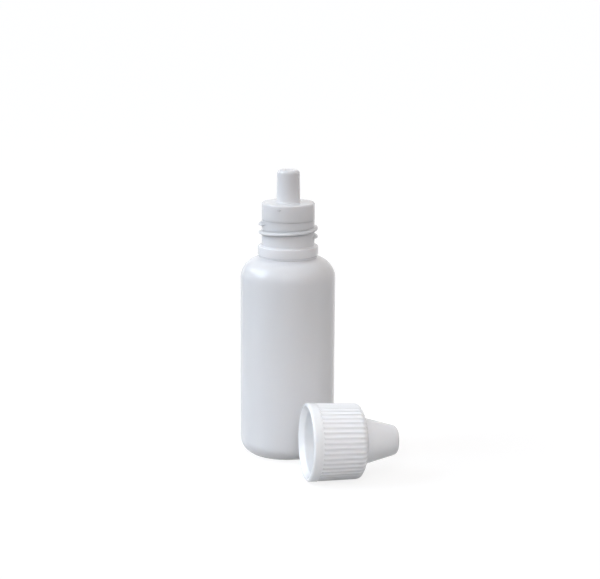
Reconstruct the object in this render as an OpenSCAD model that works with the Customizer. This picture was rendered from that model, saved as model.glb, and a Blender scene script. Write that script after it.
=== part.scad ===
// Small squeeze bottle for eye drops, standing on its base, with its screw cap lying beside it.
// Three moulded pieces: a blown bottle, a press-in dropper plug and a ribbed screw cap.
// The origin is the centre of the bottle's base. +Z runs up the bottle, +X along the lying cap.

/* [Bottle body] */
// Outside diameter of the round body
body_d = 23.2; // [22:0.1:34]
// Height of the top of the shoulder, where the neck begins
body_h = 49.5; // [34:0.5:80]
// Thickness of the blown wall
wall = 0.9; // [0.6:0.05:1.4]
// Radius of the corner between wall and base
base_corner_r = 4; // [2.5:0.1:5]
// Radius of the corner between wall and shoulder
shoulder_r = 5.2; // [3:0.1:5.4]
// Height of the hollow pushed up into the base
push_up = 1.1; // [0.5:0.1:1.6]
// Width of the flat ring that the bottle stands on
stand_ring_w = 0.8; // [0.4:0.1:1.5]

/* [Neck] */
// Outside diameter of the neck, at the root of its thread
neck_d = 13; // [12:0.1:14]
// Bore of the neck, which the dropper plug presses into
neck_bore_d = 10.2; // [9.6:0.05:10.6]
// Height of the neck above the shoulder
neck_h = 9.3; // [8:0.1:14]
// Chamfer at the mouth of the neck's bore
mouth_chamfer = 0.35; // [0.1:0.05:0.6]
// Radius that flares the bore into the body
bore_flare_r = 1.4; // [0.6:0.1:2]
// Outside diameter of the bead under the thread
bead_d = 14.74; // [14.2:0.02:15.4]
// Height of the bead's straight side
bead_h = 2.2; // [1.2:0.1:2.6]
// Height of the bead's undercut above the shoulder
bead_undercut_h = 0.6; // [0.3:0.1:1]
// Depth of that undercut, measured in from the bead
bead_undercut = 1.15; // [0.6:0.05:1.4]
// Height that the bead's top falls, from the neck out to its edge
bead_slope_h = 0.2; // [0.05:0.05:0.6]
// Radius of the bead's top edge
bead_edge_r = 0.2; // [0.1:0.05:0.4]

/* [Dropper plug] */
// Height of the collar that stands on the neck
collar_h = 4.25; // [2.5:0.05:6]
// Radius of the collar's top edge
collar_edge_r = 0.4; // [0.15:0.05:0.8]
// Radius of the collar's bottom edge, which draws the seam
seam_edge_r = 0.15; // [0.05:0.05:0.3]
// Thickness of the collar's top
collar_top = 1.3; // [0.9:0.1:1.8]
// Length of the sleeve inside the neck
sleeve_l = 6.2; // [4:0.1:7.5]
// Wall of that sleeve
sleeve_wall = 0.9; // [0.6:0.05:1.1]
// Gap between the sleeve and the bore
sleeve_gap = 0.3; // [0.15:0.05:0.4]
// Chamfer that leads the sleeve into the bore
sleeve_lead = 0.4; // [0.2:0.05:0.5]
// Number of sealing rings round the sleeve
seal_rings = 2; // [1:1:3]
// Radius of a sealing ring's round section
seal_section_r = 0.5; // [0.4:0.05:0.8]
// Running gap between the sealing rings and the bore
seal_gap = 0.03; // [0.01:0.01:0.1]

/* [Nozzle] */
// Length of the nozzle above the collar
nozzle_l = 7.95; // [6:0.05:14]
// Diameter of the nozzle at the collar
nozzle_base_d = 5.8; // [5.2:0.05:6.2]
// Taper of the nozzle, in degrees a side
nozzle_draft = 1.2; // [0.5:0.1:2]
// Radius of the tip's outer edge
nozzle_edge_r = 0.8; // [0.3:0.05:1.1]
// Radius of the fillet between nozzle and collar
nozzle_fillet_r = 0.5; // [0.2:0.05:0.8]
// Diameter of the drop-forming cup in the tip
cup_d = 2.3; // [1.4:0.1:2.6]
// Depth of that cup
cup_depth = 0.8; // [0.4:0.05:1.2]
// Diameter of the hole that meters the drop
orifice_d = 0.6; // [0.3:0.05:1]
// Length of the metering hole under the cup
orifice_l = 2.2; // [1:0.1:3]
// Diameter of the channel up the nozzle
channel_d = 2.4; // [1.6:0.1:3]

/* [Cap] */
// Thickness of the cap's wall between the ribs, at the mouth
cap_wall = 1.55; // [1.3:0.05:3]
// Taper of the skirt, in degrees a side
cap_draft = 1.5; // [0.5:0.1:2.5]
// Gap between the cap's bore and the neck's bead
cap_bore_gap = 0.13; // [0.08:0.01:0.3]
// Thickness that the bevelled mouth leaves of the cap's wall and ribs
rim_lip_w = 0.8; // [0.7:0.05:1.2]
// Height of that bevel
rim_bevel_h = 1.2; // [0.5:0.1:1.6]
// Radius of the rim's outer edge
rim_edge_r = 0.6; // [0.2:0.05:0.65]
// Gap left under the rim when the cap is screwed down
rim_gap = 1.4; // [0.5:0.1:2]
// Thickness of the cap's top, around the nose
cap_top = 0.95; // [0.7:0.05:1.5]
// Radius of the corner between skirt and top
cap_corner_r = 1.9; // [1:0.1:2.4]
// Height of the ring that seals on the collar
seal_ridge_h = 0.35; // [0.2:0.05:0.6]
// Width of that ring
seal_ridge_w = 0.7; // [0.4:0.1:0.9]
// Distance of that ring from the collar's rounded edge
seal_ridge_inset = 0.25; // [0:0.05:0.4]

/* [Grip ribs] */
// Number of ribs round the cap
rib_count = 45; // [24:1:60]
// Height of a rib above the skirt
rib_h = 0.25; // [0.1:0.05:0.35]
// Radius of a rib's round crest
rib_r = 0.42; // [0.36:0.02:0.6]
// Height of the smooth band at the rim
rib_band = 2.2; // [1:0.1:4]
// Height of that band above the ribs' crests
rib_drop = 0.05; // [0.03:0.01:0.1]
// Radius on which a rib's end turns down into the skirt
rib_bend_r = 1.2; // [0.8:0.1:1.6]

/* [Cap nose] */
// Gap round the nozzle's tip inside the nose
nose_tip_gap = 0.3; // [0.15:0.05:0.5]
// Gap round the nozzle's foot inside the nose
nose_foot_gap = 1.5; // [0.5:0.1:1.6]
// Wall of the nose beside the nozzle's tip
nose_tip_wall = 0.85; // [0.6:0.05:1.2]
// Wall of the nose at its foot
nose_foot_wall = 1.3; // [0.8:0.05:1.4]
// Radius of the fillet at the foot of the nose
nose_fillet_r = 1.2; // [0.4:0.1:1.4]
// Radius of the closed end's edge
nose_edge_r = 1.4; // [0.5:0.1:1.8]
// Gap between the nozzle's tip and the end of the bore
nose_end_gap = 0.65; // [0.3:0.05:1]
// Thickness of the closed end
nose_end = 1.45; // [0.9:0.05:2.2]
// Gap all round the pip that closes the nozzle's cup
pip_gap = 0.05; // [0.02:0.01:0.1]

/* [Where the cap lies] */
// Distance of the cap's mouth from the bottle's axis, along the cap
cap_lies_x = -0.55; // [-10:0.05:40]
// Gap between the bottle and the cap, across the cap
cap_lies_gap = 4.1; // [0.5:0.05:40]

/* [Hidden] */
$fn = 96;

overcut = 1;
body_r = body_d / 2;
neck_r = neck_d / 2;
bore_r = neck_bore_d / 2;
bead_r = bead_d / 2;
bead_low_z = body_h + bead_undercut_h;
bead_high_z = bead_low_z + bead_h;
neck_top_z = body_h + neck_h;

collar_z = neck_top_z + collar_h;
tip_z = collar_z + nozzle_l;
nozzle_base_r = nozzle_base_d / 2;
nozzle_tip_r = nozzle_base_r - nozzle_l * tan(nozzle_draft);
sleeve_r = bore_r - sleeve_gap;
sleeve_low_z = neck_top_z - sleeve_l;
hollow_r = sleeve_r - sleeve_wall;
hollow_top_z = collar_z - collar_top;

// Heights in the cap are counted from its mouth
cap_bore_r = bead_r + cap_bore_gap;
skirt_r = cap_bore_r + cap_wall;
cap_r = skirt_r + rib_h + rib_drop;
seat_h = neck_h + collar_h - rim_gap;
cap_bore_h = seat_h + seal_ridge_h;
skirt_h = cap_bore_h + cap_top;
tip_h = seat_h + nozzle_l;
nose_bore_h = tip_h + nose_end_gap;
cap_l = nose_bore_h + nose_end;
nose_tip_bore_r = nozzle_tip_r + nose_tip_gap;
nose_foot_bore_r = nozzle_base_r + nose_foot_gap;
nose_foot_r = nose_foot_bore_r + nose_foot_wall;
nose_lean = atan((nose_foot_r - nose_tip_bore_r - nose_tip_wall) / (tip_h - skirt_h));
cap_lies_y = body_r + cap_lies_gap + cap_r;

// Corner left between a square of side r and the quarter circle in it
module corner(r) {
    difference() {
        square(r);
        circle(r);
    }
}

// Half outline of a round boss that leans in by an angle, with its top edge rounded
module boss(low_z, low_r, high_z, lean, edge_r) {
    mid_r = low_r - (high_z - low_z - edge_r) * tan(lean) - edge_r / cos(lean);
    mid_z = high_z - edge_r;
    meet_r = mid_r + edge_r * cos(lean);
    meet_z = mid_z + edge_r * sin(lean);
    polygon([[0, low_z], [low_r, low_z], [meet_r, meet_z], [0, meet_z]]);
    translate([0, meet_z]) square([mid_r, high_z - meet_z]);
    intersection() {
        translate([mid_r, mid_z]) circle(edge_r);
        translate([0, meet_z]) square([meet_r, high_z - meet_z]);
    }
}

// Half outline of the fillet at the foot of such a boss
module foot(low_z, low_r, lean, fillet_r) {
    mid_r = low_r - fillet_r * tan(lean) + fillet_r / cos(lean);
    mid_z = low_z + fillet_r;
    meet_z = mid_z - fillet_r * sin(lean);
    difference() {
        polygon([[0, low_z], [mid_r, low_z], [mid_r - fillet_r * cos(lean), meet_z], [0, meet_z]]);
        translate([mid_r, mid_z]) circle(fillet_r);
    }
}

// Half outline of the body, drawn the given distance inside its outer skin
module body_outline(inset) {
    r = body_r - inset;
    low_r = base_corner_r - inset;
    difference() {
        boss(inset, r, body_h - inset, 0, shoulder_r - inset);
        translate([r - low_r, inset + low_r]) mirror([0, 1]) corner(low_r);
        base_dome(inset);
    }
}

// Half outline of the dome pushed up into the base, the given distance above its skin
module base_dome(inset) {
    edge_r = body_r - base_corner_r - stand_ring_w;
    dome_r = (edge_r * edge_r + push_up * push_up) / (2 * push_up);
    translate([0, push_up - dome_r]) circle(dome_r + inset, $fn = 360);
}

// Half outline of the neck and its bead, whose top falls a little towards its rounded edge
module neck_outline() {
    low_r = bead_r - bead_undercut;
    polygon([
        [0, body_h - wall], [low_r, body_h - wall], [low_r, body_h], [bead_r, bead_low_z],
        [bead_r, bead_high_z - bead_edge_r], [bead_r - bead_edge_r, bead_high_z],
        [neck_r, bead_high_z + bead_slope_h], [neck_r, neck_top_z], [0, neck_top_z]
    ]);
    translate([bead_r - bead_edge_r, bead_high_z - bead_edge_r]) circle(bead_edge_r);
}

// Blown bottle: body, shoulder, neck and bead, hollow right through the neck
module bottle() {
    color("#eef1f5")
    difference() {
        rotate_extrude() {
            body_outline(0);
            neck_outline();
        }
        rotate_extrude() body_outline(wall);
        translate([0, 0, body_h - wall - overcut])
            cylinder(r = bore_r, h = neck_h + wall + 2 * overcut);
        rotate_extrude() bore_ends();
    }
}

// Half outline of what opens the neck's bore at its mouth and flares it into the body
module bore_ends() {
    polygon([
        [0, neck_top_z - mouth_chamfer], [bore_r, neck_top_z - mouth_chamfer],
        [bore_r + mouth_chamfer, neck_top_z], [bore_r + mouth_chamfer, neck_top_z + overcut],
        [0, neck_top_z + overcut]
    ]);
    translate([0, body_h - wall]) intersection() {
        foot(0, bore_r, 0, bore_flare_r);
        square([bore_r + bore_flare_r, bore_flare_r]);
    }
}

// Half outline of the plug: nozzle, collar and sleeve
module plug_outline() {
    boss(hollow_top_z, nozzle_base_r + collar_top * tan(nozzle_draft), tip_z, nozzle_draft, nozzle_edge_r);
    foot(collar_z, nozzle_base_r, nozzle_draft, nozzle_fillet_r);
    difference() {
        boss(neck_top_z, neck_r, collar_z, 0, collar_edge_r);
        translate([neck_r - seam_edge_r, neck_top_z + seam_edge_r]) mirror([0, 1]) corner(seam_edge_r);
    }
    polygon([
        [0, sleeve_low_z], [sleeve_r - sleeve_lead, sleeve_low_z], [sleeve_r, sleeve_low_z + sleeve_lead],
        [sleeve_r, neck_top_z + seam_edge_r], [0, neck_top_z + seam_edge_r]
    ]);
    for (i = [1 : seal_rings]) translate([0, sleeve_low_z + i * sleeve_l / (seal_rings + 1)]) seal_ring();
}

// Half outline of a round sealing ring that stands out from the sleeve
module seal_ring() {
    intersection() {
        translate([bore_r - seal_gap - seal_section_r, 0]) circle(seal_section_r);
        translate([hollow_r + sleeve_wall / 2, -seal_section_r]) square([bore_r, 2 * seal_section_r]);
    }
}

// Half outline of the plug's inside: hollow sleeve, channel, metering hole and cup
module plug_bore_outline() {
    channel_r = channel_d / 2;
    orifice_r = orifice_d / 2;
    orifice_low_z = tip_z - cup_depth - orifice_l;
    polygon([
        [0, sleeve_low_z - overcut], [hollow_r, sleeve_low_z - overcut],
        [hollow_r, hollow_top_z - channel_r], [hollow_r - channel_r, hollow_top_z],
        [channel_r, hollow_top_z], [channel_r, orifice_low_z - channel_r],
        [orifice_r, orifice_low_z], [orifice_r, tip_z - cup_depth], [cup_d / 2, tip_z],
        [cup_d / 2, tip_z + overcut], [0, tip_z + overcut]
    ]);
}

// Dropper plug: nozzle and collar on a sleeve that seals in the neck's bore
module dropper_plug() {
    color("#f4f6f9")
    rotate_extrude() difference() {
        plug_outline();
        plug_bore_outline();
    }
}

// Half outline of the cap's skirt, band and nose, mouth at zero
module cap_outline() {
    difference() {
        union() {
            boss(0, skirt_r, skirt_h, cap_draft, cap_corner_r);
            band_outline();
        }
        translate([cap_r - rim_edge_r, rim_edge_r]) mirror([0, 1]) corner(rim_edge_r);
    }
    boss(cap_bore_h, nose_foot_r + cap_top * tan(nose_lean), cap_l, nose_lean, nose_edge_r);
    foot(skirt_h, nose_foot_r, nose_lean, nose_fillet_r);
}

// Half outline of the smooth band at the rim, which slopes back to the skirt between the ribs
module band_outline() {
    polygon([
        [0, 0], [cap_r, 0], [cap_r - rib_band * tan(cap_draft), rib_band],
        [skirt_r - rib_band * tan(cap_draft), rib_band + rib_h], [0, rib_band + rib_h]
    ]);
}

// Half outline of the cap's inside: bevelled mouth, bore, sealing ring, nose and pip
module cap_bore_outline() {
    mouth_r = cap_r - rim_lip_w;
    ridge_r = neck_r - collar_edge_r - seal_ridge_inset;
    cup_slope = (cup_d - orifice_d) / 2 / cup_depth;
    pip_end_r = orifice_d / 2;
    pip_end_h = tip_h - cup_depth + pip_gap / cup_slope;
    pip_root_r = pip_end_r + (nose_bore_h - pip_end_h) * cup_slope;
    difference() {
        polygon([
            [0, -overcut], [mouth_r, -overcut], [mouth_r, 0], [cap_bore_r, rim_bevel_h],
            [cap_bore_r, cap_bore_h], [nose_foot_bore_r, cap_bore_h],
            [nose_tip_bore_r, nose_bore_h], [0, nose_bore_h]
        ]);
        translate([ridge_r - seal_ridge_w, seat_h]) square([seal_ridge_w, seal_ridge_h]);
        polygon([[0, pip_end_h], [pip_end_r, pip_end_h], [pip_root_r, nose_bore_h], [0, nose_bore_h]]);
    }
}

// Grip rib with a round crest, which runs from the band and dives into the skirt's rounded corner
module rib() {
    straight_h = skirt_h - cap_corner_r - rib_r;
    translate([skirt_r + rib_h - rib_r, 0, 0]) rotate([0, -cap_draft, 0]) {
        translate([0, 0, rib_band - rib_r]) cylinder(r = rib_r, h = straight_h - rib_band + rib_r);
        translate([-rib_bend_r, 0, straight_h]) rotate([90, 0, 0])
            rotate_extrude(angle = 60) translate([rib_bend_r, 0]) circle(rib_r);
    }
}

// Screw cap: ribbed skirt and tapered nose over a stepped bore
module cap() {
    color("#f6f8fb")
    cap_lying() difference() {
        union() {
            rotate_extrude() cap_outline();
            for (i = [0 : rib_count - 1]) rotate(i * 360 / rib_count) rib();
        }
        rotate_extrude() cap_bore_outline();
    }
}

// Lays the cap on its ribs, nose towards +X, on the surface that the bottle stands on
module cap_lying() {
    translate([cap_lies_x, -cap_lies_y, cap_r * cos(cap_draft)])
        rotate([0, 90 + cap_draft, 0])
            children();
}

bottle();
dropper_plug();
cap();
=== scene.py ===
"""Looks of a small squeeze bottle for eye drops, with its dropper plug and its screw cap.

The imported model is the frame: it gives every place and the main sizes. Each piece here is a
closed mesh that stands for one of its nodes, and rides on that node's body. Lengths in the
classes are in millimetres, as a mould maker writes them, and the meshes are made in metres.
"""

import logging
import math
from collections.abc import Callable, Sequence
from dataclasses import dataclass
from enum import Enum

import bmesh
import bpy
import numpy as np
from mathutils import Matrix, Vector


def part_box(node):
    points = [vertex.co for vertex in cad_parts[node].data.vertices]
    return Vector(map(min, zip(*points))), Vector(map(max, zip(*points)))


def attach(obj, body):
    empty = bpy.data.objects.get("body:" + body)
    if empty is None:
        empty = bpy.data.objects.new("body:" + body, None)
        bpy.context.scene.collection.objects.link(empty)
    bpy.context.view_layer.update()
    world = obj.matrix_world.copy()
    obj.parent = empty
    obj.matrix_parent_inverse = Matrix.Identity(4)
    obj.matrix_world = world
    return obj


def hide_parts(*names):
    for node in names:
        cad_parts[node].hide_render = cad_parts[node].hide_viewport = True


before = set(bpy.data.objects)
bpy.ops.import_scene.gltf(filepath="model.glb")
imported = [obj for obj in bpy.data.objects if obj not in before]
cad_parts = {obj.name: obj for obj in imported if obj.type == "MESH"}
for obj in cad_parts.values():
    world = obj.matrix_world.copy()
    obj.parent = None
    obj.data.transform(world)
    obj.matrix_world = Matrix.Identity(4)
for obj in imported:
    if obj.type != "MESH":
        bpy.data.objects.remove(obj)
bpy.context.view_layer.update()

MM = 0.001
FULL_TURN = 2 * math.pi
# Points of a mesh that are this close, in metres, are one point.
SAME_POINT = 1e-7
# The most that a rounding turns from one point to the next, and the fewest steps that it takes.
ARC_STEP = math.radians(9)
LEAST_ARC_STEPS = 3
# The rounding of an edge in mm where no other is named, as a mould leaves none quite sharp.
EDGE_R = 0.1
MATH = "ShaderNodeMath"
MAP_RANGE = "ShaderNodeMapRange"
SMOOTH = {"interpolation_type": "SMOOTHSTEP"}
SOCKETS = {
    float: "NodeSocketFloat",
    int: "NodeSocketInt",
    bpy.types.Material: "NodeSocketMaterial",
}
log = logging.getLogger("eye_drop_bottle")

Point = tuple[float, float]
Relief = Callable[[np.ndarray, np.ndarray, np.ndarray], np.ndarray]


class Side(Enum):
    """The side of a round wall that a screw thread stands on."""

    OUTSIDE = 1
    INSIDE = -1


class Grain(Enum):
    """How a mould leaves a plastic surface, as the stretch of its texture along X, Y and Z."""

    BLOWN = (1.0, 1.0, 0.35)
    ERODED = (1.0, 1.0, 1.0)


@dataclass(frozen=True)
class Corner:
    """A corner of a half outline, in mm.

    r is the distance from the axis, z the height and radius the rounding of the corner.
    split is the longest step on the stretch that starts here, or 0 for one step.
    """

    r: float
    z: float
    radius: float = 0.0
    split: float = 0.0


def linear(code: str) -> tuple[float, float, float, float]:
    """Turns an sRGB colour into Blender's linear colour.

    Args:
        code: The colour as six hex digits, such as "F0F2F4".

    Returns:
        Red, green, blue and an alpha of 1, as linear values.
    """
    shares = [int(code[i : i + 2], 16) / 255 for i in (0, 2, 4)]
    rgb = [c / 12.92 if c <= 0.04045 else ((c + 0.055) / 1.055) ** 2.4 for c in shares]
    return (*rgb, 1.0)


def add_node(
    tree: bpy.types.NodeTree,
    kind: str,
    inputs: dict[str | int, object] | None = None,
    **settings: object,
) -> bpy.types.Node:
    """Adds a node to a tree, with its settings, values and links.

    Args:
        tree: The tree of a material, the world or a geometry rule.
        kind: The node's type name.
        inputs: What each socket takes, by name or number: a value, another node's output, or a
            node that gives its first output.
        **settings: Attributes of the node, such as its operation.

    Returns:
        The new node.
    """
    node = tree.nodes.new(kind)
    for name, value in settings.items():
        setattr(node, name, value)
    for key, value in (inputs or {}).items():
        source = value.outputs[0] if isinstance(value, bpy.types.Node) else value
        if isinstance(source, bpy.types.NodeSocket):
            tree.links.new(source, node.inputs[key])
        else:
            node.inputs[key].default_value = source
    return node


def bare_tree(owner: bpy.types.Material | bpy.types.World) -> bpy.types.NodeTree:
    """Gives a material or the world an empty node tree."""
    owner.use_nodes = True
    owner.node_tree.nodes.clear()
    return owner.node_tree


def add_object(name: str, data: bpy.types.ID) -> bpy.types.Object:
    """Makes an object out of a mesh, lamp or camera, and links it to the scene."""
    made = bpy.data.objects.new(name, data)
    bpy.context.scene.collection.objects.link(made)
    return made


def rounded(corners: Sequence[Corner], closed: bool = False, hold: float = 0.1) -> list[Point]:
    """Draws a half outline with its corners rounded.

    Args:
        corners: The outline's corners in order, with the solid on the left.
        closed: True if the last corner joins the first.
        hold: Distance from a rounding at which a straight stretch gets a point, in mm, so that
            smooth shading stays flat between them.

    Returns:
        The outline's points as radius and height, in mm.
    """
    count = len(corners)
    points: list[Point] = []
    for i, corner in enumerate(corners):
        here = np.array([corner.r, corner.z])
        has_ends = closed or 0 < i < count - 1
        arc = [here]
        if has_ends and corner.radius > 0:
            back = np.array([corners[i - 1].r, corners[i - 1].z]) - here
            ahead_corner = corners[(i + 1) % count]
            ahead = np.array([ahead_corner.r, ahead_corner.z]) - here
            back /= np.linalg.norm(back)
            ahead /= np.linalg.norm(ahead)
            half = math.acos(max(-1.0, min(1.0, float(back @ ahead)))) / 2
            reach = corner.radius / math.tan(half)
            middle = back + ahead
            centre = here + middle / np.linalg.norm(middle) * corner.radius / math.sin(half)
            first, last = here + back * reach - centre, here + ahead * reach - centre
            start = math.atan2(first[1], first[0])
            turn = math.atan2(last[1], last[0]) - start
            turn = (turn + math.pi) % FULL_TURN - math.pi
            steps = max(LEAST_ARC_STEPS, math.ceil(abs(turn) / ARC_STEP))
            angles = [start + turn * k / steps for k in range(steps + 1)]
            arc = [centre + corner.radius * np.array([math.cos(a), math.sin(a)]) for a in angles]
        if points:
            points.extend(_stretch(points[-1], tuple(arc[0]), corners[i - 1].split, hold))
        points.extend((float(p[0]), float(p[1])) for p in arc)
    if closed:
        points.extend(_stretch(points[-1], points[0], corners[-1].split, hold))
    return points


def _stretch(start: Point, end: Point, split: float, hold: float) -> list[Point]:
    """Gives the points between the ends of a straight stretch.

    Args:
        start: Where the stretch starts, in mm.
        end: Where it ends, in mm.
        split: The longest step along it, or 0 for one step.
        hold: Distance of the first and last point from the ends.

    Returns:
        The points in between, without the ends.
    """
    length = math.dist(start, end)
    if length < 4 * hold:
        return []
    shares = [hold / length]
    if split:
        steps = math.ceil((length - 2 * hold) / split)
        inner = (length - 2 * hold) / length
        shares += [hold / length + inner * k / steps for k in range(1, steps)]
    shares.append(1 - hold / length)
    return [(start[0] + (end[0] - start[0]) * s, start[1] + (end[1] - start[1]) * s) for s in shares]


def even_columns(count: int) -> np.ndarray:
    """Angles of that many even columns round an axis, in radians."""
    return np.arange(count) * FULL_TURN / count


def revolve(
    name: str,
    outline: Sequence[Point],
    columns: np.ndarray,
    closed: bool = False,
    relief: Relief | None = None,
) -> bpy.types.Mesh:
    """Turns a half outline about Z into a closed, smooth mesh.

    Args:
        name: Name of the mesh.
        outline: Radius and height of each point in mm, with the solid on the left. An open
            outline starts and ends on the axis.
        columns: Angles of the columns in radians, rising, less than a full turn.
        closed: True if the last point joins the first.
        relief: Gives the height of a raised line, in mm, for angle, radius and height.

    Returns:
        The mesh, in metres.
    """
    line = np.array(outline, float)
    before, after = np.roll(line, 1, axis=0), np.roll(line, -1, axis=0)
    along = after - before
    along /= np.linalg.norm(along, axis=1)[:, None]
    outward = np.stack([along[:, 1], -along[:, 0]], axis=1)
    body = line if closed else line[1:-1]
    outward = outward if closed else outward[1:-1]
    angle = columns[:, None]
    lift = np.zeros((len(columns), len(body)))
    if relief:
        lift = relief(angle, body[None, :, 0], body[None, :, 1])
    radius = body[None, :, 0] + lift * outward[None, :, 0]
    height = body[None, :, 1] + lift * outward[None, :, 1]
    rings = np.stack([radius * np.cos(angle), radius * np.sin(angle), height], axis=2)
    verts = [tuple(v) for v in (rings.reshape(-1, 3) * MM)]
    rows, count = len(body), len(columns)
    faces: list[tuple[int, ...]] = []
    last = rows if closed else rows - 1
    for j in range(count):
        this, following = j * rows, (j + 1) % count * rows
        for i in range(last):
            up = (i + 1) % rows
            faces.append((this + i, following + i, following + up, this + up))
    if not closed:
        verts.append((0.0, 0.0, line[0, 1] * MM))
        verts.append((0.0, 0.0, line[-1, 1] * MM))
        low, high = len(verts) - 2, len(verts) - 1
        for j in range(count):
            this, following = j * rows, (j + 1) % count * rows
            faces.append((low, following, this))
            faces.append((high, this + rows - 1, following + rows - 1))
    mesh = bpy.data.meshes.new(name)
    mesh.from_pydata(verts, [], faces)
    mesh.shade_smooth()
    mesh.update()
    return mesh


def run_rule(
    tree: bpy.types.NodeTree,
    sizes: dict[str, object],
    base: bpy.types.Mesh | None = None,
) -> bpy.types.Mesh:
    """Runs a Geometry Nodes tree and gives its result as a plain mesh.

    Args:
        tree: The tree, with named inputs.
        sizes: A value for each named input.
        base: The mesh that the tree changes, or None if it makes its own.

    Returns:
        The plain mesh.
    """
    host = add_object(tree.name, base or bpy.data.meshes.new(tree.name))
    modifier = host.modifiers.new(tree.name, "NODES")
    modifier.node_group = tree
    for socket in tree.interface.items_tree:
        if socket.in_out == "INPUT" and socket.name in sizes:
            modifier[socket.identifier] = sizes[socket.name]
    evaluated = host.evaluated_get(bpy.context.evaluated_depsgraph_get())
    mesh = bpy.data.meshes.new_from_object(evaluated)
    bpy.data.objects.remove(host)
    return mesh


def new_rule(
    name: str,
    sizes: dict[str, object],
    changes: bool = False,
) -> tuple[bpy.types.NodeTree, bpy.types.Node]:
    """Starts a Geometry Nodes tree with an input for each size.

    Args:
        name: Name of the tree.
        sizes: The value of each named input: a float, an int or a material.
        changes: True if the tree changes a mesh, which is then its first input.

    Returns:
        The tree and its input node.
    """
    tree = bpy.data.node_groups.new(name, "GeometryNodeTree")
    kinds = {"Mesh": "NodeSocketGeometry"} if changes else {}
    kinds |= {label: SOCKETS[type(value)] for label, value in sizes.items()}
    for label, kind in kinds.items():
        tree.interface.new_socket(label, in_out="INPUT", socket_type=kind)
    tree.interface.new_socket("Mesh", in_out="OUTPUT", socket_type="NodeSocketGeometry")
    return tree, add_node(tree, "NodeGroupInput")


def end_rule(tree: bpy.types.NodeTree, shape: bpy.types.Node, dress: bpy.types.NodeSocket) -> None:
    """Ends a tree: instances are realized, the material is set and the mesh goes out.

    Args:
        tree: The tree.
        shape: The node that gives the shape it has made.
        dress: The socket that gives the material.
    """
    real = add_node(tree, "GeometryNodeRealizeInstances", {"Geometry": shape})
    dressed = add_node(tree, "GeometryNodeSetMaterial", {"Geometry": real, "Material": dress})
    add_node(tree, "NodeGroupOutput", {"Mesh": dressed})


def place(
    name: str,
    mesh: bpy.types.Mesh,
    dress: bpy.types.Material,
    body: str,
    replaces: str | None = None,
) -> bpy.types.Object:
    """Makes a mesh a piece of the object, riding on a body.

    Args:
        name: Name of the piece.
        mesh: Its mesh, with its place in it.
        dress: Its material.
        body: The body that it moves with.
        replaces: The node that it stands for, or None.

    Returns:
        The piece.
    """
    mesh.name = name
    mesh.materials.clear()
    mesh.materials.append(dress)
    piece = add_object(name, mesh)
    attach(piece, body)
    if replaces:
        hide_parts(replaces)
    log.info("%s: %d faces, rides on %s", name, len(mesh.polygons), body)
    return piece


@dataclass(frozen=True)
class Plastic:
    """A plastic as it leaves its mould.

    The plastic's own white is cloudy, in patches of two near shades. Its skin carries the
    mould's texture, and its gloss varies with the patches. Light goes a little way into it and
    comes out again, the red farthest.
    """

    name: str
    shade: str
    cloud: str
    cloud_mm: float
    roughness: float
    grain: Grain
    grain_mm: float
    grain_depth_mm: float
    glow_mm: float
    ior: float
    roughness_spread: float = 0.02
    glow: float = 0.8
    glow_reach: tuple[float, float, float] = (1.0, 0.95, 0.9)
    patch_range: tuple[float, float] = (0.3, 0.7)

    def build(self) -> bpy.types.Material:
        """Makes the material.

        Returns:
            The material, with its patterns on Object coordinates.
        """
        material = bpy.data.materials.new(self.name)
        tree = bare_tree(material)
        where = add_node(tree, "ShaderNodeTexCoord").outputs["Object"]
        stretched = add_node(tree, "ShaderNodeMapping", {"Vector": where, "Scale": self.grain.value})
        patches = add_node(
            tree,
            "ShaderNodeTexNoise",
            {"Vector": stretched, "Scale": 1 / (self.cloud_mm * MM), "Detail": 3.0},
        )
        tint = add_node(
            tree,
            "ShaderNodeMix",
            {0: patches, 6: linear(self.shade), 7: linear(self.cloud)},
            data_type="RGBA",
        )
        gloss = add_node(
            tree,
            MAP_RANGE,
            {
                "Value": patches,
                "From Min": self.patch_range[0],
                "From Max": self.patch_range[1],
                "To Min": self.roughness - self.roughness_spread,
                "To Max": self.roughness + self.roughness_spread,
            },
        )
        texture = add_node(
            tree,
            "ShaderNodeTexNoise",
            {"Vector": stretched, "Scale": 1 / (self.grain_mm * MM), "Detail": 2.0},
        )
        skin = add_node(
            tree,
            "ShaderNodeBump",
            {"Height": texture, "Strength": 1.0, "Distance": self.grain_depth_mm * MM},
        )
        shader = add_node(
            tree,
            "ShaderNodeBsdfPrincipled",
            {
                "Base Color": tint.outputs[2],
                "Roughness": gloss,
                "IOR": self.ior,
                "Subsurface Weight": self.glow,
                "Subsurface Radius": self.glow_reach,
                "Subsurface Scale": self.glow_mm * MM,
                "Normal": skin,
            },
        )
        add_node(tree, "ShaderNodeOutputMaterial", {"Surface": shader})
        return material


# Low-density polyethylene, blown in a polished mould: a soft white wall, milky to the eye, with a
# satin gloss. Its cloudy patches are 6 mm across and its fine texture is 0.55 mm across and
# 0.0015 mm deep. Both are drawn out to three times that length up the bottle, where the hot tube
# stretched. The real texture is finer, and is drawn as coarse as it needs to show.
BLOWN_POLYETHYLENE = Plastic(
    name="blown_polyethylene",
    shade="ECECEE",
    cloud="E6E7EA",
    cloud_mm=6.0,
    roughness=0.11,
    grain=Grain.BLOWN,
    grain_mm=0.55,
    grain_depth_mm=0.0015,
    glow_mm=2.2,
    ior=1.51,
)
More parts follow.
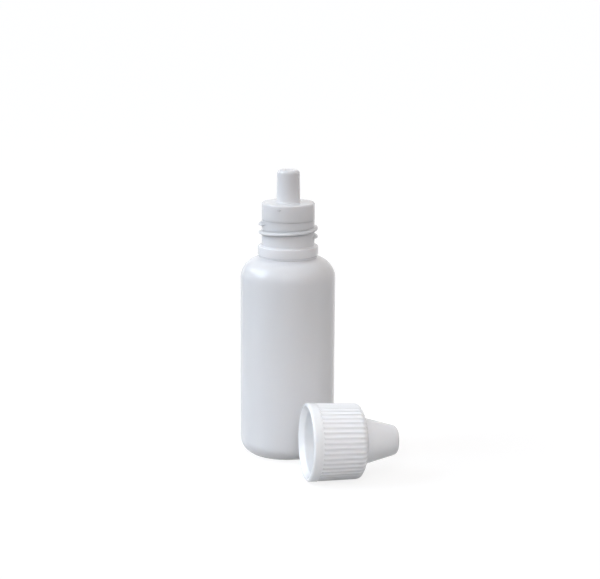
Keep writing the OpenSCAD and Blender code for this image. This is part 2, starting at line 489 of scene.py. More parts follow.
# Low-density polyethylene, injected in a smooth steel mould: the same milky white, with a clear
# sheen on a smooth skin. Its cloudy patches are 3 mm across, and its texture is 0.35 mm across and
# 0.001 mm deep, drawn coarser than the real one so that it shows.
MOULDED_POLYETHYLENE = Plastic(
    name="moulded_polyethylene",
    shade="EAEAEC",
    cloud="E5E6E8",
    cloud_mm=3.0,
    roughness=0.12,
    grain=Grain.ERODED,
    grain_mm=0.35,
    grain_depth_mm=0.001,
    glow_mm=1.6,
    ior=1.51,
)
# Polypropylene, injected in a spark-eroded mould: a whiter, harder and slightly duller skin. Its
# cloudy patches are 3 mm across, and the eroded grain is 0.3 mm across and 0.0015 mm deep, drawn
# coarser than the real one so that it shows.
MOULDED_POLYPROPYLENE = Plastic(
    name="moulded_polypropylene",
    shade="F4F5F7",
    cloud="F0F2F4",
    cloud_mm=3.0,
    roughness=0.16,
    grain=Grain.ERODED,
    grain_mm=0.30,
    grain_depth_mm=0.0015,
    glow_mm=1.6,
    ior=1.49,
)


@dataclass(frozen=True)
class ScrewThread:
    """A raised screw thread with rounded flanks, whose ends run out into its wall, in mm."""

    wall_r: float
    height: float
    pitch: float
    foot_w: float
    crest_share: float
    start_z: float
    start_deg: float
    sweep_deg: float
    run_out_deg: float
    side: Side
    sink: float = 0.05
    columns_a_turn: int = 160
    rows: int = 15

    def rule(self, sizes: dict[str, object]) -> bpy.types.NodeTree:
        """Builds the tree that winds the thread.

        A flat grid becomes the thread: its X runs along the helix and its Y goes up one flank,
        over the crest and down the other. The last row comes back to the first, which closes
        the foot inside the wall.

        Args:
            sizes: The thread's sizes in metres and radians, and its material.

        Returns:
            The tree, with the sizes as inputs.
        """
        tree, given = new_rule("screw_thread", sizes)
        size = given.outputs
        grid = add_node(
            tree,
            "GeometryNodeMeshGrid",
            {"Size X": 1.0, "Size Y": 1.0, "Vertices X": size["Columns"], "Vertices Y": size["Rows"]},
        )
        spot = add_node(tree, "GeometryNodeInputPosition")
        flat = add_node(tree, "ShaderNodeSeparateXYZ", {0: spot})
        edge = {"From Min": -0.5, "From Max": 0.5}
        wound = add_node(
            tree, MAP_RANGE, {"Value": flat.outputs["X"], **edge, "To Min": 0.0, "To Max": size["Sweep"]}
        )
        across = add_node(
            tree,
            MAP_RANGE,
            {"Value": flat.outputs["Y"], **edge, "To Min": -1.0, "To Max": size["Wrap row"]},
        )
        between_rows = 1 + 1 / (self.rows - 2)
        flank = add_node(tree, MATH, {0: across, 1: between_rows, 2: -between_rows}, operation="WRAP")
        left = add_node(tree, MATH, {0: size["Sweep"], 1: wound}, operation="SUBTRACT")
        ends = [
            add_node(
                tree, MAP_RANGE, {"Value": way, "From Min": 0.0, "From Max": size["Run out"]}, **SMOOTH
            )
            for way in (wound, left)
        ]
        fade = add_node(tree, MATH, dict(enumerate(ends)), operation="MULTIPLY")
        off_crest = add_node(tree, MATH, {0: flank}, operation="ABSOLUTE")
        raised = add_node(
            tree,
            MAP_RANGE,
            {"Value": off_crest, "From Min": 1.0, "From Max": size["Crest share"]},
            **SMOOTH,
        )
        for factor in (fade, size["Height"]):
            raised = add_node(tree, MATH, {0: raised, 1: factor}, operation="MULTIPLY")
        sunk = add_node(tree, MATH, {0: raised, 1: size["Sink"]}, operation="SUBTRACT")
        radius = add_node(
            tree, MATH, {0: sunk, 1: size["Side"], 2: size["Wall radius"]}, operation="MULTIPLY_ADD"
        )
        climb = add_node(
            tree,
            MATH,
            {0: wound, 1: size["Rise a radian"], 2: size["Start height"]},
            operation="MULTIPLY_ADD",
        )
        half = add_node(tree, MATH, {0: size["Half foot"], 1: size["Side"]}, operation="MULTIPLY")
        reach = add_node(tree, MATH, {0: half, 1: fade}, operation="MULTIPLY")
        height = add_node(tree, MATH, {0: flank, 1: reach, 2: climb}, operation="MULTIPLY_ADD")
        angle = add_node(tree, MATH, {0: wound, 1: size["Start angle"]}, operation="ADD")
        section = add_node(tree, "ShaderNodeCombineXYZ", {"X": radius, "Z": height})
        turned = add_node(
            tree, "ShaderNodeVectorRotate", {"Vector": section, "Angle": angle}, rotation_type="Z_AXIS"
        )
        shaped = add_node(tree, "GeometryNodeSetPosition", {"Geometry": grid, "Position": turned})
        merged = add_node(
            tree, "GeometryNodeMergeByDistance", {"Geometry": shaped, "Distance": self.sink * MM / 2}
        )
        soft = add_node(tree, "GeometryNodeSetShadeSmooth", {"Geometry": merged})
        end_rule(tree, soft, size["Material"])
        return tree

    def mesh(self, dress: bpy.types.Material) -> bpy.types.Mesh:
        """Winds the thread.

        Args:
            dress: The plastic of its wall.

        Returns:
            The closed mesh of the thread.
        """
        sweep = math.radians(self.sweep_deg)
        sizes = {
            "Wall radius": self.wall_r * MM,
            "Height": (self.height + self.sink) * MM,
            "Rise a radian": self.pitch * MM / FULL_TURN,
            "Half foot": self.foot_w / 2 * MM,
            "Crest share": self.crest_share,
            "Start height": self.start_z * MM,
            "Start angle": math.radians(self.start_deg),
            "Sweep": sweep,
            "Run out": math.radians(self.run_out_deg),
            "Sink": self.sink * MM,
            "Side": float(self.side.value),
            "Wrap row": 1 + 2 / (self.rows - 2),
            "Columns": round(sweep / FULL_TURN * self.columns_a_turn),
            "Rows": self.rows,
            "Material": dress,
        }
        return closed_up(run_rule(self.rule(sizes), sizes))


@dataclass(frozen=True)
class GripRibs:
    """Round grip ribs raised evenly round a skirt, in mm. One rib lies on the cap's own +X.

    half_share is half a rib's width as a share of the step from one rib to the next. Nothing
    within inner_r of the axis is moved, which keeps the bore round.
    """

    count: int
    height: float
    half_share: float
    low_z: float
    low_fade: float
    high_z: float
    high_fade: float
    inner_r: float

    def rule(self, sizes: dict[str, object]) -> bpy.types.NodeTree:
        """Builds the tree that raises the ribs out of a revolved skirt.

        Each point moves out along its normal by the rib's round section, which depends on its
        angle alone, and fades at both ends of the ribs and inside the bore.

        Args:
            sizes: The ribs' sizes in metres, and their material.

        Returns:
            The tree, with the skirt and the sizes as inputs.
        """
        tree, given = new_rule("grip_ribs", sizes, changes=True)
        size = given.outputs
        spot = add_node(tree, "GeometryNodeInputPosition")
        part = add_node(tree, "ShaderNodeSeparateXYZ", {0: spot}).outputs
        angle = add_node(tree, MATH, {0: part["Y"], 1: part["X"]}, operation="ARCTAN2")
        turns = add_node(tree, MATH, {0: angle, 1: size["Count"]}, operation="MULTIPLY")
        off_crest = add_node(tree, MATH, {0: turns, 1: math.pi, 2: -math.pi}, operation="WRAP")
        half_width = add_node(tree, MATH, {0: size["Half share"], 1: FULL_TURN}, operation="MULTIPLY")
        share = add_node(tree, MATH, {0: off_crest, 1: half_width}, operation="DIVIDE")
        square = add_node(tree, MATH, {0: share, 1: share}, operation="MULTIPLY")
        drop = add_node(tree, MATH, {0: 1.0, 1: square}, operation="SUBTRACT")
        section = add_node(tree, MATH, {0: drop, 1: 0.0}, operation="MAXIMUM")
        low, high = (
            add_node(
                tree,
                MAP_RANGE,
                {"Value": part["Z"], "From Min": size[bare], "From Max": size[full]},
                **SMOOTH,
            )
            for bare, full in (("Low start", "Low end"), ("High end", "High start"))
        )
        level = add_node(tree, "ShaderNodeCombineXYZ", {"X": part["X"], "Y": part["Y"]})
        radius = add_node(tree, "ShaderNodeVectorMath", {0: level}, operation="LENGTH")
        outside = add_node(
            tree, MATH, {0: radius.outputs["Value"], 1: size["Inner radius"]}, operation="GREATER_THAN"
        )
        lift = low
        for factor in (high, outside, size["Height"], section):
            lift = add_node(tree, MATH, {0: lift, 1: factor}, operation="MULTIPLY")
        outward = add_node(tree, "GeometryNodeInputNormal")
        offset = add_node(tree, "ShaderNodeVectorMath", {0: outward, "Scale": lift}, operation="SCALE")
        moved = add_node(tree, "GeometryNodeSetPosition", {"Geometry": size["Mesh"], "Offset": offset})
        end_rule(tree, moved, size["Material"])
        return tree

    def mesh(self, skirt: bpy.types.Mesh, dress: bpy.types.Material) -> bpy.types.Mesh:
        """Raises the ribs out of a skirt.

        Args:
            skirt: The revolved cap, its mouth at height 0.
            dress: Its plastic.

        Returns:
            The ribbed mesh.
        """
        sizes = {
            "Count": float(self.count),
            "Height": self.height * MM,
            "Half share": self.half_share,
            "Low start": self.low_z * MM,
            "Low end": (self.low_z + self.low_fade) * MM,
            "High start": (self.high_z - self.high_fade) * MM,
            "High end": self.high_z * MM,
            "Inner radius": self.inner_r * MM,
            "Material": dress,
        }
        return run_rule(self.rule(sizes), sizes, skirt)


@dataclass
class BlownBottle:
    """The blown bottle, hollow: body, shoulder, bead and an open, threaded neck, in mm."""

    body_r: float
    neck_top: float
    body_h: float = 49.5
    wall: float = 0.9
    base_corner_r: float = 4.0
    shoulder_corner_r: float = 5.2
    push_up: float = 1.1
    stand_ring_w: float = 0.8
    neck_r: float = 6.5
    bore_r: float = 5.1
    bore_flare_r: float = 1.4
    mouth_chamfer: float = 0.35
    bead_r: float = 7.37
    bead_h: float = 2.2
    bead_undercut_h: float = 0.6
    bead_undercut: float = 1.15
    bead_root: float = 0.85
    bead_slope_h: float = 0.2
    bead_edge_r: float = 0.2
    parting_deg: float = -12.0
    parting_h: float = 0.05
    parting_w: float = 0.3
    root_r: float = 0.2
    root_high_r: float = 0.12
    neck_foot_r: float = 0.25
    lip_edge_r: float = 0.08
    columns: int = 240
    arc_steps: int = 16
    wall_step: float = 1.5

    @property
    def ring_r(self) -> float:
        """Inner radius of the flat ring that the bottle stands on."""
        return self.body_r - self.base_corner_r - self.stand_ring_w

    @property
    def dome_r(self) -> float:
        """Radius of the sphere that the pushed-up base is a piece of."""
        return (self.ring_r**2 + self.push_up**2) / (2 * self.push_up)

    def dome(self, low_z: float) -> list[Corner]:
        """Draws the dome pushed up into the base.

        Args:
            low_z: Height of the dome's edge, where it meets the standing ring.

        Returns:
            The dome's corners from the axis outwards.
        """
        radii = [self.ring_r * k / self.arc_steps for k in range(self.arc_steps + 1)]
        depth = self.dome_r - self.push_up
        return [Corner(r, low_z + math.sqrt(self.dome_r**2 - r**2) - depth) for r in radii]

    def shoulder(self, end_r: float) -> list[Corner]:
        """Draws the round shoulder from the wall up to the root of the bead.

        Args:
            end_r: Radius at which the bead's root stands on the shoulder.

        Returns:
            Corners along the shoulder, without its end at the root.
        """
        corner_r = self.shoulder_corner_r
        middle_r, middle_z = self.body_r - corner_r, self.body_h - corner_r
        turn = math.acos((end_r - middle_r) / corner_r)
        angles = [turn * k / self.arc_steps for k in range(self.arc_steps)]
        return [
            Corner(middle_r + corner_r * math.cos(a), middle_z + corner_r * math.sin(a)) for a in angles
        ]

    def outline(self) -> list[Point]:
        """Draws the bottle's half outline.

        The undercut below the bead is filled at its root, as the plastic fills the mould there.

        Returns:
            The points from the middle of the base, up the outside and down the inside.
        """
        bead_low = self.body_h + self.bead_undercut_h
        bead_high = bead_low + self.bead_h
        root = self.bead_r - self.bead_undercut + self.bead_root
        root_rise = self.bead_undercut_h * self.bead_root / self.bead_undercut
        outside = [
            *self.dome(0.0),
            Corner(self.body_r, 0.0, self.base_corner_r, split=self.wall_step),
            *self.shoulder(root),
            Corner(root, self.body_h, self.root_r),
            Corner(root, self.body_h + root_rise, self.root_high_r),
            Corner(self.bead_r, bead_low, self.bead_edge_r),
            Corner(self.bead_r, bead_high, self.bead_edge_r),
            Corner(self.neck_r, bead_high + self.bead_slope_h, self.neck_foot_r),
            Corner(self.neck_r, self.neck_top, EDGE_R),
        ]
        inner_r = self.body_r - self.wall
        mouth = [
            Corner(self.bore_r + self.mouth_chamfer, self.neck_top, self.lip_edge_r),
            Corner(self.bore_r, self.neck_top - self.mouth_chamfer, EDGE_R),
            Corner(self.bore_r, self.body_h - self.wall, self.bore_flare_r),
        ]
        inside = [
            Corner(inner_r, self.body_h - self.wall, self.shoulder_corner_r - self.wall),
            Corner(inner_r, self.wall, self.base_corner_r - self.wall),
            *reversed(self.dome(self.wall)),
        ]
        return rounded([*outside, *mouth, *inside])

    def parting_line(self, angle: np.ndarray, radius: np.ndarray, height: np.ndarray) -> np.ndarray:
        """Raises the fine line that the two mould halves leave up both sides.

        It fades out at the floor, so that the bottle stands on its flat ring.

        Args:
            angle: Column angles in radians.
            radius: Radii of the outline's points, in mm.
            height: Heights of the outline's points, in mm.

        Returns:
            The height of the line at each point, in mm.
        """
        seam = math.radians(self.parting_deg)
        off = np.abs((angle - seam + math.pi / 2) % math.pi - math.pi / 2)
        ridge = np.clip(1 - off * radius / (self.parting_w / 2), 0, 1)
        on_body = (radius > self.body_r - self.wall / 2) & (height > 0) & (height < self.body_h)
        on_shoulder = (height > self.body_h - self.wall / 2) & (radius > self.neck_r)
        over_corner = (height < self.body_h) & (radius > self.neck_r) & self._outside(radius, height)
        off_floor = np.clip(height / self.parting_w, 0, 1)
        return self.parting_h * ridge * off_floor * (on_body | on_shoulder | over_corner)

    def _outside(self, radius: np.ndarray, height: np.ndarray) -> np.ndarray:
        """True where a point lies on the outer skin of the base's or the shoulder's corner."""
        low = np.hypot(radius - self.body_r + self.base_corner_r, height - self.base_corner_r)
        top = np.hypot(
            radius - self.body_r + self.shoulder_corner_r, height - self.body_h + self.shoulder_corner_r
        )
        near_base = (height < self.base_corner_r) & (low > self.base_corner_r - self.wall / 2)
        near_top = (height > self.body_h / 2) & (top > self.shoulder_corner_r - self.wall / 2)
        return near_base | near_top

    def column_angles(self) -> np.ndarray:
        """Gives the column angles, with fine ones at the parting line.

        Returns:
            The angles in radians, rising.
        """
        seam = math.radians(self.parting_deg)
        steps = np.array([-1.0, -0.5, -0.2, 0.0, 0.2, 0.5, 1.0]) * self.parting_w / 2 / self.body_r
        fine = np.concatenate([seam + steps, seam + math.pi + steps]) % FULL_TURN
        even = even_columns(self.columns)
        gap = np.abs((even[:, None] - fine[None, :] + math.pi) % FULL_TURN - math.pi).min(axis=1)
        return np.sort(np.concatenate([even[gap > FULL_TURN / self.columns / 4], fine]))

    def build(self) -> None:
        """Makes the bottle, its thread and the pinched seam under its base."""
        dress = BLOWN_POLYETHYLENE.build()
        shell = revolve("bottle_shell", self.outline(), self.column_angles(), relief=self.parting_line)
        place("bottle_shell", shell, dress, "bottle", "bottle")
        thread = ScrewThread(
            wall_r=self.neck_r,
            height=0.77,
            pitch=2.12,
            foot_w=1.35,
            crest_share=0.22,
            start_z=self.neck_top - 4.45,
            start_deg=-42.0,
            sweep_deg=610.0,
            run_out_deg=32.0,
            side=Side.OUTSIDE,
        )
        place("neck_thread", thread.mesh(dress), dress, "bottle")
        place("pinch_seam", self.pinch_seam(), dress, "bottle")

    def pinch_seam(self) -> bpy.types.Mesh:
        """Makes the seam where the mould pinched the hot tube shut, across the pushed-up base.

        Returns:
            A low closed ridge that follows the dome and runs out at both ends.
        """
        half_length, half_width, height, sink = 5.6, 0.3, 0.22, 0.1
        steps, rows = 48, 9
        verts: list[tuple[float, float, float]] = []
        for i in range(steps + 1):
            x = half_length * (2 * i / steps - 1)
            fade = math.sqrt(max(0.0, 1 - (x / half_length) ** 2))
            dome_z = math.sqrt(self.dome_r**2 - x**2) - self.dome_r + self.push_up
            for k in range(rows):
                a = math.pi * k / (rows - 1)
                y = half_width * fade * math.cos(a)
                z = dome_z + sink * fade - (height + sink) * fade * math.sin(a)
                verts.append((x, y, z))
        faces = []
        for i in range(steps):
            for k in range(rows):
                up = (k + 1) % rows
                here, ahead = i * rows, (i + 1) * rows
                faces.append((here + k, ahead + k, ahead + up, here + up))
        mesh = bpy.data.meshes.new("pinch_seam")
        mesh.from_pydata([Vector(v) * MM for v in verts], [], faces)
        mesh.transform(Matrix.Rotation(math.radians(self.parting_deg), 4, "Z"))
        return closed_up(mesh)


def closed_up(mesh: bpy.types.Mesh) -> bpy.types.Mesh:
    """Merges a mesh's doubles, drops points without faces and turns its faces outwards.

    Args:
        mesh: A mesh whose ends come together in points.

    Returns:
        The same mesh, closed and smooth.
    """
    work = bmesh.new()
    work.from_mesh(mesh)
    bmesh.ops.remove_doubles(work, verts=work.verts, dist=SAME_POINT)
    bare = [vert for vert in work.verts if not vert.link_faces]
    bmesh.ops.delete(work, geom=bare, context="VERTS")
    bmesh.ops.recalc_face_normals(work, faces=work.faces)
    work.to_mesh(mesh)
    work.free()
    mesh.shade_smooth()
    mesh.update()
    return mesh


@dataclass
class DropperPlug:
    """The press-in plug: nozzle and collar above a hollow sleeve with sealing rings, in mm."""

    neck_top: float
    tip_z: float
    collar_h: float = 4.25
    collar_r: float = 6.5
    collar_edge_r: float = 0.4
    seam_edge_r: float = 0.15
    collar_top: float = 1.3
    nozzle_base_r: float = 2.9
    nozzle_tip_r: float = 2.733
    nozzle_edge_r: float = 0.8
    nozzle_fillet_r: float = 0.5
    cup_r: float = 1.15
    cup_depth: float = 0.8
    orifice_r: float = 0.3
    orifice_l: float = 2.2
    channel_r: float = 1.2
    sleeve_r: float = 4.8
    sleeve_wall: float = 0.9
    sleeve_l: float = 6.2
    sleeve_lead: float = 0.4
    ring_r: float = 5.07
    ring_section_r: float = 0.5
    rings: int = 2
    gate_deg: float = -121.4
    gate_drop: float = 1.15
    gate_r: float = 0.32
    gate_top_r: float = 0.2
    gate_h: float = 0.22
    gate_foot: float = 0.15
    gate_stretch: float = 1.8
    orifice_edge_r: float = 0.06
    tip_edge_r: float = 0.12
    step_edge_r: float = 0.2
    columns: int = 192

    def sealing_rings(self) -> list[Corner]:
        """Draws the sealing rings from the lowest up.

        Returns:
            Corners along the round outer side of each ring.
        """
        section_r, steps = self.ring_section_r, 8
        centre_r = self.ring_r - section_r
        half = math.acos((self.sleeve_r - centre_r) / section_r)
        low_z = self.neck_top - self.sleeve_l
        found: list[Corner] = []
        for i in range(1, self.rings + 1):
            z = low_z + i * self.sleeve_l / (self.rings + 1)
            for k in range(steps + 1):
                a = half * (2 * k / steps - 1)
                found.append(Corner(centre_r + section_r * math.cos(a), z + section_r * math.sin(a)))
        return found

    def outline(self) -> list[Point]:
        """Draws the plug's half outline.

        Returns:
            The points of the closed outline: up the outside, down through the nozzle.
        """
        collar_z = self.neck_top + self.collar_h
        low_z = self.neck_top - self.sleeve_l
        hollow_r = self.sleeve_r - self.sleeve_wall
        hollow_z = collar_z - self.collar_top
        orifice_z = self.tip_z - self.cup_depth - self.orifice_l
        corners = [
            Corner(hollow_r, low_z, EDGE_R),
            Corner(self.sleeve_r - self.sleeve_lead, low_z, EDGE_R),
            Corner(self.sleeve_r, low_z + self.sleeve_lead, EDGE_R),
            *self.sealing_rings(),
            Corner(self.sleeve_r, self.neck_top, EDGE_R),
            Corner(self.collar_r, self.neck_top, self.seam_edge_r),
            Corner(self.collar_r, collar_z, self.collar_edge_r),
            Corner(self.nozzle_base_r, collar_z, self.nozzle_fillet_r),
            Corner(self.nozzle_tip_r, self.tip_z, self.nozzle_edge_r),
            Corner(self.cup_r, self.tip_z, self.tip_edge_r),
            Corner(self.orifice_r, self.tip_z - self.cup_depth, self.orifice_edge_r),
            Corner(self.orifice_r, orifice_z, self.orifice_edge_r),
            Corner(self.channel_r, orifice_z - self.channel_r, self.step_edge_r),
            Corner(self.channel_r, hollow_z, self.step_edge_r),
            Corner(hollow_r - self.channel_r, hollow_z, self.step_edge_r),
            Corner(hollow_r, hollow_z - self.channel_r, self.step_edge_r),
        ]
        return rounded(corners, closed=True)

    def gate_mark(self) -> bpy.types.Mesh:
        """Makes the small oval nub that the moulding gate leaves on the collar.

        Returns:
            A low nub, wider than it is high, its foot inside the collar's wall.
        """
        nub = [
            Corner(0, -self.gate_foot),
            Corner(self.gate_r, -self.gate_foot, EDGE_R / 2),
            Corner(self.gate_top_r, self.gate_h, self.tip_edge_r),
            Corner(0, self.gate_h),
        ]
        mesh = revolve("gate_mark", rounded(nub), even_columns(self.columns // 8))
        height = self.neck_top + self.collar_h - self.gate_drop
        mesh.transform(
            Matrix.Rotation(math.radians(self.gate_deg), 4, "Z")
            @ Matrix.Translation((self.collar_r * MM, 0, height * MM))
            @ Matrix.Rotation(math.pi / 2, 4, "Y")
            @ Matrix.Diagonal((1.0, self.gate_stretch, 1.0, 1.0))
        )
        return mesh

    def build(self) -> None:
        """Makes the plug and the gate mark on its collar."""
        dress = MOULDED_POLYETHYLENE.build()
        mesh = revolve("dropper_plug_body", self.outline(), even_columns(self.columns), closed=True)
        place("dropper_plug_body", mesh, dress, "dropper_plug", "dropper_plug")
        place("gate_mark", self.gate_mark(), dress, "dropper_plug")


@dataclass
class ScrewCap:
    """The ribbed screw cap with its tapered nose, in mm, counted from its mouth."""

    length: float
    lies_at: Point
    mouth_r: float = 9.35
    lip_w: float = 0.8
    bevel_h: float = 1.2
    rim_edge_r: float = 0.6
    draft_deg: float = 1.5
    wall: float = 1.55
    rib_h: float = 0.25
    ribs: int = 45
    rib_band: float = 2.2
    bore_r: float = 7.5
    bore_h: float = 12.5
    skirt_h: float = 13.45
    corner_r: float = 1.9
    seal_h: float = 0.35
    seal_r: float = 5.85
    seal_w: float = 0.7
    nose_foot_r: float = 5.7
    nose_fillet_r: float = 1.2
    nose_slope: float = 0.2732
    nose_edge_r: float = 1.4
    nose_bore_foot_r: float = 4.4
    nose_bore_tip_r: float = 3.033
    nose_bore_h: float = 20.75
    pip_r: float = 0.3
    pip_root_r: float = 1.79
    pip_h: float = 19.35
    lip_inner_r: float = 0.12
    bevel_top_r: float = 0.6
    floor_edge_r: float = 0.3
    foot_edge_r: float = 0.2
    seal_foot_r: float = 0.08
    rib_clear: float = 0.1
    rib_top_gap: float = 0.2
    rib_top_fade: float = 1.0
    rib_share: float = 0.31
    fine_rows_l: float = 1.0
    columns_a_rib: int = 11

    def outline(self) -> list[Point]:
        """Draws the cap's half outline.

        Returns:
            The points from the pip's tip, down the inside, round the rim and up the outside.
        """
        skirt_r = self.bore_r + self.wall
        lean = math.tan(math.radians(self.draft_deg))
        nose_tip_r = self.nose_foot_r - (self.length - self.skirt_h) * self.nose_slope
        seal_z = self.bore_h - self.seal_h
        slope_end = self.rib_band + self.rib_h
        even_z = slope_end + self.fine_rows_l
        corners = [
            Corner(0, self.pip_h),
            Corner(self.pip_r, self.pip_h, EDGE_R),
            Corner(self.pip_root_r, self.nose_bore_h, self.foot_edge_r),
            Corner(self.nose_bore_tip_r, self.nose_bore_h, self.floor_edge_r),
            Corner(self.nose_bore_foot_r, self.bore_h, self.foot_edge_r),
            Corner(self.seal_r - self.seal_w, self.bore_h, self.seal_foot_r),
            Corner(self.seal_r - self.seal_w, seal_z, EDGE_R),
            Corner(self.seal_r, seal_z, EDGE_R),
            Corner(self.seal_r, self.bore_h, self.seal_foot_r),
            Corner(self.bore_r, self.bore_h, self.floor_edge_r),
            Corner(self.bore_r, self.bevel_h, self.bevel_top_r),
            Corner(self.mouth_r - self.lip_w, 0, self.lip_inner_r),
            Corner(self.mouth_r, 0, self.rim_edge_r),
            Corner(self.mouth_r - self.rib_band * lean, self.rib_band, EDGE_R, split=0.08),
            Corner(skirt_r - slope_end * lean, slope_end, EDGE_R, split=0.2),
            Corner(skirt_r - even_z * lean, even_z, split=2.0),
            Corner(skirt_r - self.skirt_h * lean, self.skirt_h, self.corner_r),
            Corner(self.nose_foot_r, self.skirt_h, self.nose_fillet_r),
            Corner(nose_tip_r, self.length, self.nose_edge_r),
            Corner(0, self.length),
        ]
        return rounded(corners)

    def lying(self) -> Matrix:
        """Lays the cap on its ribs, its nose towards +X.

        Returns:
            The turn and move from the cap's own frame to the row's.
        """
        draft = math.radians(self.draft_deg)
        x, y = self.lies_at
        place_at = Vector((x, y, self.mouth_r * math.cos(draft))) * MM
        return Matrix.Translation(place_at) @ Matrix.Rotation(math.pi / 2 + draft, 4, "Y")

    def build(self) -> None:
        """Makes the cap and the thread inside it, and lays them beside the bottle."""
        dress = MOULDED_POLYPROPYLENE.build()
        skirt = revolve("cap_shell", self.outline(), even_columns(self.ribs * self.columns_a_rib))
        ribs = GripRibs(
            count=self.ribs,
            height=self.rib_h,
            half_share=self.rib_share,
            low_z=self.rib_band,
            low_fade=self.rib_h,
            high_z=self.skirt_h - self.rib_top_gap,
            high_fade=self.rib_top_fade,
            inner_r=self.bore_r + self.rib_clear,
        )
        shell = ribs.mesh(skirt, dress)
        shell.transform(self.lying())
        place("cap_shell", shell, dress, "cap", "cap")
        thread = ScrewThread(
            wall_r=self.bore_r,
            height=0.75,
            pitch=2.12,
            foot_w=1.3,
            crest_share=0.22,
            start_z=4.6,
            start_deg=150.0,
            sweep_deg=420.0,
            run_out_deg=30.0,
            side=Side.INSIDE,
        ).mesh(dress)
        thread.transform(self.lying())
        place("cap_thread", thread, dress, "cap")


@dataclass(frozen=True)
class SoftBox:
    """A lit rectangle of cloth, in metres. Its spread is the grid in front of it, in degrees."""

    name: str
    stands_at: tuple[float, float, float]
    aims_at: tuple[float, float, float]
    size: tuple[float, float]
    strength: float
    spread_deg: float = 180.0

    def build(self) -> None:
        """Makes the lamp and turns it to what it lights."""
        lamp = bpy.data.lights.new(self.name, "AREA")
        lamp.shape = "RECTANGLE"
        lamp.size, lamp.size_y = self.size
        lamp.energy = self.strength
        lamp.spread = math.radians(self.spread_deg)
        box = add_object(self.name, lamp)
        box.rotation_mode = "QUATERNION"
        box.location = self.stands_at
        away = Vector(self.stands_at) - Vector(self.aims_at)
        box.rotation_quaternion = away.to_track_quat("Z", "Y")


# Above the camera: draws a line of light along each rounded edge.
STRIP_BOX = SoftBox(
    name="strip_box",
    stands_at=(-0.06, -0.42, 0.50),
    aims_at=(0.0, 0.0, 0.04),
    size=(0.22, 0.03),
    strength=0.3,
)
# Behind the bottle on the left: a window that glints on the shoulder and edges the left sides.
WINDOW_BOX = SoftBox(
    name="window_box",
    stands_at=(-0.36, 0.26, 0.30),
    aims_at=(0.0, 0.0, 0.05),
    size=(0.09, 0.09),
    strength=0.18,
)
# Beside the camera, with a narrow grid: fills the cap and the lower half of the bottle.
FILL_BOX = SoftBox(
    name="fill_box",
    stands_at=(-0.12, -0.32, 0.20),
    aims_at=(-0.002, -0.012, 0.012),
    size=(0.08, 0.08),
    strength=0.006,
    spread_deg=16.0,
)


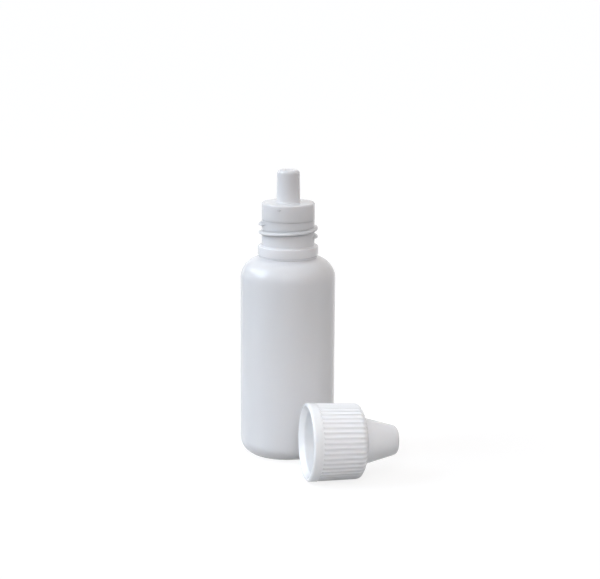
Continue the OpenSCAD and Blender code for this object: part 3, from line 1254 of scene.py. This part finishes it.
@dataclass(frozen=True)
class Studio:
    """A white floor under soft light: a wide key lamp from the upper left and an even sky.

    To the light the floor is a pale sheet round the bottle on a darker table, and to the eye it
    is white all over.
    """

    floor_m: float = 12.0
    sky: str = "FFF8F6"
    sky_strength: float = 0.545
    key: str = "DAEDFF"
    key_strength: float = 1.56
    key_angle_deg: float = 34.0
    key_from: tuple[float, float, float] = (-0.80, 0.05, 0.57)
    boxes: tuple[SoftBox, ...] = (STRIP_BOX, WINDOW_BOX, FILL_BOX)
    sheet_shade: str = "A0A0A0"
    table_shade: str = "7C7C7C"
    sheet_r: float = 0.08
    table_r: float = 0.20
    white: str = "FFFFFF"
    floor_seen: str = "8C8C8C"
    floor_glow: float = 0.80

    def seen_directly(self, tree: bpy.types.NodeTree) -> bpy.types.Node:
        """Tells rays that show the background from those that light the object.

        Args:
            tree: The world's or the floor's tree.

        Returns:
            A node that gives 1 for camera, glossy and transmission rays, and 0 for the rest.
        """
        path = add_node(tree, "ShaderNodeLightPath").outputs
        first = add_node(
            tree, MATH, {0: path["Is Camera Ray"], 1: path["Is Glossy Ray"]}, operation="ADD"
        )
        return add_node(
            tree, MATH, {0: first, 1: path["Is Transmission Ray"]}, operation="ADD", use_clamp=True
        )

    def build_sky(self) -> None:
        """Makes the even sky, which shows as white."""
        world = bpy.data.worlds.new("studio_sky")
        bpy.context.scene.world = world
        tree = bare_tree(world)
        lit = add_node(
            tree, "ShaderNodeBackground", {"Color": linear(self.sky), "Strength": self.sky_strength}
        )
        shown = add_node(tree, "ShaderNodeBackground", {"Color": linear(self.white), "Strength": 1.0})
        mixed = add_node(tree, "ShaderNodeMixShader", {0: self.seen_directly(tree), 1: lit, 2: shown})
        add_node(tree, "ShaderNodeOutputWorld", {"Surface": mixed})

    def build_floor(self) -> None:
        """Makes the floor: white to the eye, with the object's soft shadow."""
        half = self.floor_m / 2
        mesh = bpy.data.meshes.new("floor")
        corners = [(-half, -half, 0), (half, -half, 0), (half, half, 0), (-half, half, 0)]
        mesh.from_pydata(corners, [], [(0, 1, 2, 3)])
        floor = add_object("floor", mesh)
        material = bpy.data.materials.new("painted_board")
        tree = bare_tree(material)
        spot = add_node(tree, "ShaderNodeNewGeometry").outputs["Position"]
        away = add_node(tree, "ShaderNodeVectorMath", {0: spot}, operation="LENGTH")
        off_sheet = add_node(
            tree,
            MAP_RANGE,
            {"Value": away.outputs["Value"], "From Min": self.sheet_r, "From Max": self.table_r},
            **SMOOTH,
        )
        paper = add_node(
            tree,
            "ShaderNodeMix",
            {0: off_sheet, 6: linear(self.sheet_shade), 7: linear(self.table_shade)},
            data_type="RGBA",
        )
        lit = add_node(tree, "ShaderNodeBsdfDiffuse", {"Color": paper.outputs[2]})
        seen = add_node(tree, "ShaderNodeBsdfDiffuse", {"Color": linear(self.floor_seen)})
        glow = add_node(
            tree, "ShaderNodeEmission", {"Color": linear(self.white), "Strength": self.floor_glow}
        )
        white = add_node(tree, "ShaderNodeAddShader", {0: seen, 1: glow})
        mixed = add_node(tree, "ShaderNodeMixShader", {0: self.seen_directly(tree), 1: lit, 2: white})
        add_node(tree, "ShaderNodeOutputMaterial", {"Surface": mixed})
        mesh.materials.append(material)

    def build_lamps(self) -> None:
        """Makes the key lamp and the soft boxes."""
        lamp = bpy.data.lights.new("key_lamp", "SUN")
        lamp.color = linear(self.key)[:3]
        lamp.energy = self.key_strength
        lamp.angle = math.radians(self.key_angle_deg)
        key = add_object("key_lamp", lamp)
        key.rotation_mode = "QUATERNION"
        key.rotation_quaternion = Vector(self.key_from).to_track_quat("Z", "Y")
        for box in self.boxes:
            box.build()

    def build(self) -> None:
        """Makes the sky, the floor and the lamps, and sets how colours are shown."""
        self.build_sky()
        self.build_floor()
        self.build_lamps()
        bpy.context.scene.view_settings.view_transform = "Standard"


@dataclass(frozen=True)
class ProductCamera:
    """The camera, placed as the photograph was taken, in mm and degrees.

    It stands in front of the bottle, a little to its left, and looks slightly down.
    """

    distance: float = 440.0
    height: float = 131.1
    aside: float = 3.0
    turn_deg: float = 12.0
    pitch_deg: float = 11.54
    roll_deg: float = 0.38
    focal_px: float = 1822.0
    image_px: tuple[int, int] = (600, 579)
    sensor_mm: float = 36.0

    def build(self) -> None:
        """Makes the camera and sets it as the scene's."""
        turn = math.radians(self.turn_deg)
        ahead = Vector((math.sin(turn), math.cos(turn), 0))
        aside = Vector((math.cos(turn), -math.sin(turn), 0))
        pitch = math.radians(self.pitch_deg)
        look = ahead * math.cos(pitch) - Vector((0, 0, math.sin(pitch)))
        up = aside.cross(look)
        axes = Matrix((aside, up, -look)).transposed()
        roll = Matrix.Rotation(math.radians(self.roll_deg), 3, "Z")
        spot = -ahead * self.distance + aside * self.aside + Vector((0, 0, self.height))
        lens = bpy.data.cameras.new("product_camera")
        lens.sensor_width = self.sensor_mm
        lens.lens = self.focal_px / self.image_px[0] * self.sensor_mm
        lens.clip_start = 0.01
        camera = add_object("product_camera", lens)
        camera.matrix_world = Matrix.Translation(spot * MM) @ (axes @ roll).to_4x4()
        bpy.context.scene.camera = camera


def main() -> None:
    """Builds the studio and the three dressed pieces, from the frame's own sizes."""
    logging.basicConfig(level=logging.INFO, format="%(message)s")
    bottle_low, bottle_high = (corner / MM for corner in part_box("bottle"))
    plug_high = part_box("dropper_plug")[1] / MM
    cap_low, cap_high = (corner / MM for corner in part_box("cap"))
    Studio().build()
    ProductCamera().build()
    BlownBottle(body_r=(bottle_high.x - bottle_low.x) / 2, neck_top=bottle_high.z).build()
    DropperPlug(neck_top=bottle_high.z, tip_z=plug_high.z).build()
    ScrewCap(length=22.2, lies_at=(-0.55, (cap_low.y + cap_high.y) / 2)).build()


if __name__ == "__main__":
    main()
